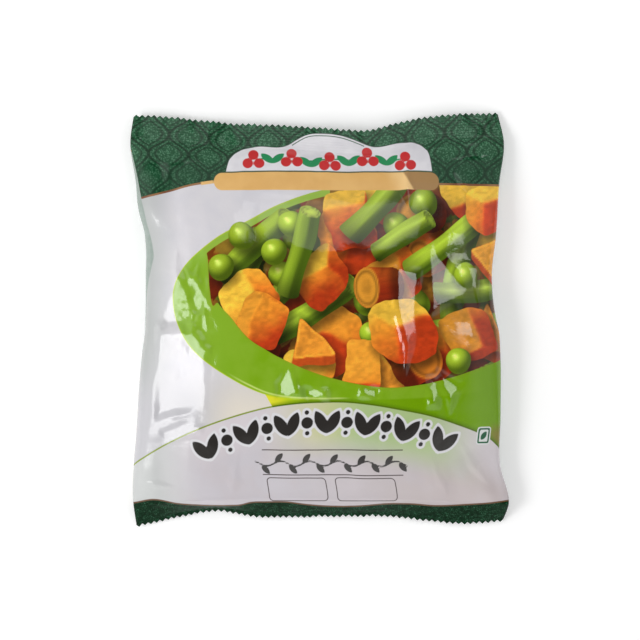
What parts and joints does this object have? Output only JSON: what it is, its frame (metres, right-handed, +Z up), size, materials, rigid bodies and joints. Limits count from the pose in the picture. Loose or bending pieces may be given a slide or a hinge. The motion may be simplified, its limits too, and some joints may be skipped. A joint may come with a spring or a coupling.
{
  "type": "frozen vegetable bag",
  "caption": "Filled pillow bag of frozen mixed vegetables, lying on its back, with a printed glossy film, crimped end seals and zigzag cut edges.",
  "frame": {"origin": "centre of the bag's bounding box on the surface that it lies on", "axes": "+Z up from the surface that the bag lies on, +Y from the bottom seal to the top seal, +X to the right of the printed front as read"},
  "size_m": [0.1992, 0.2192, 0.0353],
  "materials": {
    "printed_film": "glossy printed film: dark green header, pale ground and a green bowl of mixed vegetables"
  },
  "bodies": {
    "root": {"bag": "printed_film"}
  },
  "joints": []
}
